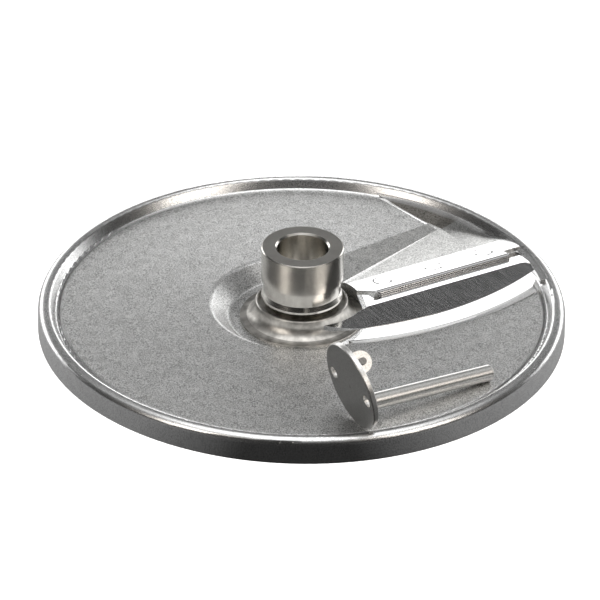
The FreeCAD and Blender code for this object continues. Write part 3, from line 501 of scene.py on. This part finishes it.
def roll_chord(work):
    """Rolls the top of the sheet down to the facets' straight outer edge, as the press leaves it."""
    start, end = Vector(CHORD[2]), Vector(CHORD[3])
    length = (end - start).length
    along = (end - start).normalized()
    left = Vector((-along.y, along.x))

    def reach(point):
        offset = point.xy - start
        return offset.dot(left), offset.dot(along)

    def is_near(face):
        asides, aheads = zip(*[reach(vert.co) for vert in face.verts])
        return (face.normal.z > FACE_MATCH and min(asides) < ROLL_WIDTH and max(asides) > -ROLL_SLACK
                and max(aheads) > -ROLL_FADE and min(aheads) < length)

    for step in range(1, ROLL_STEPS + 1):
        faces = [face for face in work.faces if is_near(face)]
        edges = dict.fromkeys(edge for face in faces for edge in face.edges)
        verts = dict.fromkeys(vert for face in faces for vert in face.verts)
        cut = start + left * (ROLL_WIDTH * step / ROLL_STEPS)
        bmesh.ops.bisect_plane(
            work, geom=[*verts, *edges, *faces], dist=MERGE, plane_co=(*cut, 0.0), plane_no=(*left, 0.0))
    for vert in work.verts:
        aside, ahead = reach(vert.co)
        on_top = any(face.normal.z > FACE_MATCH for face in vert.link_faces)
        if on_top and -ROLL_SLACK < aside < ROLL_WIDTH and ahead > -ROLL_FADE:
            starts = min(1.0, (ahead + ROLL_FADE) / (2 * ROLL_FADE))
            ends = min(1.0, max(0.0, (FLAT_EDGE_RADIUS - vert.co.xy.length) / ROLL_FADE))
            drop = (1.0 - max(0.0, aside) / ROLL_WIDTH) ** 2
            vert.co.z -= ROLL_DEPTH * drop * starts * ends


class DISC_OT_plate(bpy.types.Operator):
    """Makes the pressed plate"""

    bl_idname = "disc.plate"
    bl_label = "Pressed plate"

    def execute(self, context):
        sizes, colours = context.scene.disc_sizes, context.scene.disc_colours
        material = blasted_stainless(sizes, colours)
        finished_copy("plate", "pressed_plate", material, SMOOTH_SHEET, forming_of, roll_chord)
        return {"FINISHED"}


class DISC_OT_knife(bpy.types.Operator):
    """Makes the blade and its rivets"""

    bl_idname = "disc.knife"
    bl_label = "Knife and rivets"

    def execute(self, context):
        sizes, colours = context.scene.disc_sizes, context.scene.disc_colours
        material = ground_stainless(sizes, colours, "ground_blade_steel", 0.12)
        finished_copy("knife_blade", "ground_blade", material, SMOOTH_GROUND)
        rivet = ground_stainless(sizes, colours, "pressed_rivet_steel", 0.17)
        finished_copy("knife_rivets", "flush_rivets", rivet, SMOOTH_SHEET)
        return {"FINISHED"}


class DISC_OT_hub(bpy.types.Operator):
    """Makes the turned sleeve and flange"""

    bl_idname = "disc.hub"
    bl_label = "Hub"

    def execute(self, context):
        sizes, colours = context.scene.disc_sizes, context.scene.disc_colours
        sleeve = turned_stainless(sizes, colours, "turned_sleeve_steel", 0.19, 0.12)
        flange = turned_stainless(sizes, colours, "turned_flange_steel", 0.34, 0.45)
        finished_copy("hub_sleeve", "turned_sleeve", sleeve, SMOOTH_TURNED, level_of)
        finished_copy("hub_flange", "flared_flange", flange, SMOOTH_TURNED, level_of)
        return {"FINISHED"}


class DISC_OT_cap(bpy.types.Operator):
    """Makes the loose cap with its rod, ear and pin"""

    bl_idname = "disc.cap"
    bl_label = "Loose cap"

    def execute(self, context):
        sizes, colours = context.scene.disc_sizes, context.scene.disc_colours
        satin = satin_stainless(sizes, colours, "tumbled_cap_steel", 0.34)
        drawn = satin_stainless(sizes, colours, "drawn_rod_steel", 0.30)
        finished_copy("cap_disc", "cap_cover", satin, SMOOTH_SHEET, painted_shade_front_of)
        finished_copy("cap_lug", "cap_ear", satin, SMOOTH_SHEET)
        finished_copy("cap_rod", "cap_locking_rod", drawn, SMOOTH_SHEET)
        dark = satin_stainless(sizes, colours, "dull_pin_steel", 0.5)
        finished_copy("cap_pin", "cap_cross_pin", dark, SMOOTH_SHEET, darkened_all_over)
        return {"FINISHED"}


def studio_world():
    """White for the camera; for the metal a white screen low behind, dark cards low in front, a bright top."""
    world = bpy.data.worlds.new("studio")
    tree = new_tree(world)
    place = add(tree, "ShaderNodeTexCoord").outputs["Generated"]
    _, behind, up = add(tree, "ShaderNodeSeparateXYZ", {}, {"Vector": place}).outputs
    rise = add(tree, "ShaderNodeMath", {"operation": "ARCSINE"}, {0: up})
    height = add(tree, "ShaderNodeMapRange", {}, {"Value": rise, "From Max": math.pi / 2})
    back = set_ramp(add(tree, "ShaderNodeValToRGB", {}, {"Fac": height}), [
        (0.0, grey(1.5)), (18 / 90, grey(1.5)), (21.5 / 90, grey(0.10)), (26 / 90, grey(0.035)),
        (32 / 90, grey(0.07)), (46 / 90, grey(0.12)), (58 / 90, grey(0.45)), (70 / 90, grey(1.0))])
    front = set_ramp(add(tree, "ShaderNodeValToRGB", {}, {"Fac": height}), [
        (0.0, grey(0.01)), (28 / 90, grey(0.02)), (48 / 90, grey(0.10)), (58 / 90, grey(0.4)),
        (70 / 90, grey(1.2))])
    side = add(tree, "ShaderNodeMapRange", {"interpolation_type": "SMOOTHSTEP"}, {
        "Value": behind, "From Min": 0.25, "From Max": 0.65})
    room = add(tree, "ShaderNodeMixRGB", {}, {"Fac": side, "Color1": front, "Color2": back})
    for_camera = add(tree, "ShaderNodeLightPath").outputs["Is Camera Ray"]
    seen = add(tree, "ShaderNodeBackground", {}, {"Color": grey(1.0), "Strength": 1.0})
    lit = add(tree, "ShaderNodeBackground", {}, {"Color": room, "Strength": ROOM_STRENGTH})
    surface = add(tree, "ShaderNodeMixShader", {}, {0: for_camera, 1: lit, 2: seen})
    add(tree, "ShaderNodeOutputWorld", {}, {"Surface": surface})
    bpy.context.scene.world = world


def studio_floor():
    """Pale table: white to the camera but for the disc's shadow; the metal sees it lit under the disc only."""
    mesh = bpy.data.meshes.new("studio_floor")
    work = bmesh.new()
    bmesh.ops.create_grid(work, x_segments=1, y_segments=1, size=FLOOR_HALF)
    work.to_mesh(mesh)
    work.free()
    floor = bpy.data.objects.new("studio_floor", mesh)
    bpy.context.scene.collection.objects.link(floor)
    material = bpy.data.materials.new("pale_table")
    tree = new_tree(material)
    pale = add(tree, "ShaderNodeBsdfDiffuse", {}, {"Color": grey(0.8)})
    glow = add(tree, "ShaderNodeEmission", {}, {"Color": grey(1.0), "Strength": 0.92})
    white = add(tree, "ShaderNodeAddShader", {}, {0: pale, 1: glow})

    place = add(tree, "ShaderNodeTexCoord").outputs["Object"]
    reach = add(tree, "ShaderNodeVectorMath", {"operation": "LENGTH"}, {0: place}).outputs["Value"]
    _, behind, _ = add(tree, "ShaderNodeSeparateXYZ", {}, {"Vector": place}).outputs
    ahead = add(tree, "ShaderNodeMath", {"operation": "DIVIDE"}, {0: behind, 1: reach})
    ahead = add(tree, "ShaderNodeMath", {"operation": "MULTIPLY"}, {0: ahead, 1: -1.0})
    table = set_ramp(add(tree, "ShaderNodeValToRGB", {}, {"Fac": ahead}), [
        (0.0, grey(0.42)), (0.4, grey(0.36)), (0.78, grey(0.24)), (0.93, grey(0.10)), (0.975, grey(0.03))])
    outside = add(tree, "ShaderNodeEmission", {}, {"Color": table, "Strength": 1.0})

    patches = add(tree, "ShaderNodeTexNoise", {}, {"Vector": place, "Scale": 70.0, "Detail": 1.0})
    broken = add(tree, "ShaderNodeMapRange", {}, {
        "Value": patches, "From Min": 0.42, "From Max": 0.58, "To Min": 0.02, "To Max": 1.6})
    beyond_bore = add(tree, "ShaderNodeMapRange", {}, {
        "Value": reach, "From Min": UNDER_BORE[0], "From Max": UNDER_BORE[1]})
    shine = add(tree, "ShaderNodeMixRGB", {}, {"Fac": beyond_bore, "Color1": broken, "Color2": grey(1.3)})
    inside = add(tree, "ShaderNodeEmission", {}, {"Color": grey(1.0), "Strength": shine})
    under_disc = add(tree, "ShaderNodeMapRange", {}, {
        "Value": reach, "From Min": UNDER_DISC[0], "From Max": UNDER_DISC[1], "To Min": 1.0, "To Max": 0.0})
    below = add(tree, "ShaderNodeMixShader", {}, {0: under_disc, 1: outside, 2: inside})
    for_camera = add(tree, "ShaderNodeLightPath").outputs["Is Camera Ray"]
    surface = add(tree, "ShaderNodeMixShader", {}, {0: for_camera, 1: below, 2: white})
    add(tree, "ShaderNodeOutputMaterial", {}, {"Surface": surface})
    mesh.materials.append(material)


def softbox(name, azimuth, elevation, width, height, power):
    """A rectangular lamp that points at the disc; azimuth is where it stands, counted from +X."""
    lamp = bpy.data.lights.new(name, "AREA")
    lamp.shape = "RECTANGLE"
    lamp.size, lamp.size_y = width, height
    lamp.energy = power
    lamp.color = linear(LAMP_COLOUR)[:3]
    turn, rise = math.radians(azimuth), math.radians(elevation)
    way = Vector((math.cos(turn) * math.cos(rise), math.sin(turn) * math.cos(rise), math.sin(rise)))
    aim = way.to_track_quat("Z", "Y").to_matrix().to_4x4()
    holder = bpy.data.objects.new(name, lamp)
    holder.matrix_world = Matrix.Translation(way * LAMP_DISTANCE) @ aim
    bpy.context.scene.collection.objects.link(holder)


def photo_camera():
    """The camera of the photograph, from a fit of the rim, hub and knife."""
    camera = bpy.data.cameras.new("photo_camera")
    camera.sensor_width = SENSOR
    camera.lens = FOCAL_PIXELS / IMAGE_SIZE * SENSOR
    camera.clip_start, camera.clip_end = 0.1, 20.0
    rise = math.radians(VIEW_ELEVATION)
    forward = Vector((0.0, math.cos(rise), -math.sin(rise)))
    right = Vector((1.0, 0.0, 0.0))
    up = Vector((0.0, math.sin(rise), math.cos(rise)))
    level = right * math.cos(VIEW_ROLL) + up * math.sin(VIEW_ROLL)
    upright = up * math.cos(VIEW_ROLL) - right * math.sin(VIEW_ROLL)
    turn = Matrix((level, upright, -forward)).transposed().to_4x4()
    holder = bpy.data.objects.new("photo_camera", camera)
    holder.matrix_world = Matrix.Translation(VIEW_CENTRE - forward * VIEW_DISTANCE) @ turn
    bpy.context.scene.collection.objects.link(holder)
    bpy.context.scene.camera = holder


class DISC_OT_stage(bpy.types.Operator):
    """Makes the camera, floor and studio light"""

    bl_idname = "disc.stage"
    bl_label = "Stage"

    def execute(self, context):
        context.scene.view_settings.view_transform = "Standard"
        photo_camera()
        studio_world()
        studio_floor()
        for lamp in LAMPS:
            softbox(*lamp)
        return {"FINISHED"}


class DISC_PT_panel(bpy.types.Panel):
    """Sidebar panel that lists the pieces"""

    bl_idname = "DISC_PT_panel"
    bl_label = "Slicing disc"
    bl_space_type = "VIEW_3D"
    bl_region_type = "UI"
    bl_category = "Slicing disc"

    def draw(self, context):
        layout = self.layout
        for group in (context.scene.disc_sizes, context.scene.disc_colours):
            for name in group.__annotations__:
                layout.prop(group, name)
        for operator in STEPS:
            layout.operator(operator.bl_idname)


STEPS = (DISC_OT_plate, DISC_OT_knife, DISC_OT_hub, DISC_OT_cap, DISC_OT_stage)
CLASSES = (DiscSizes, DiscColours, *STEPS, DISC_PT_panel)


def register():
    for cls in CLASSES:
        bpy.utils.register_class(cls)
    bpy.types.Scene.disc_sizes = bpy.props.PointerProperty(type=DiscSizes)
    bpy.types.Scene.disc_colours = bpy.props.PointerProperty(type=DiscColours)


def unregister():
    del bpy.types.Scene.disc_colours
    del bpy.types.Scene.disc_sizes
    for cls in reversed(CLASSES):
        bpy.utils.unregister_class(cls)


def main():
    register()
    bpy.ops.disc.plate()
    bpy.ops.disc.knife()
    bpy.ops.disc.hub()
    bpy.ops.disc.cap()
    bpy.ops.disc.stage()


if __name__ == "__main__":
    main()
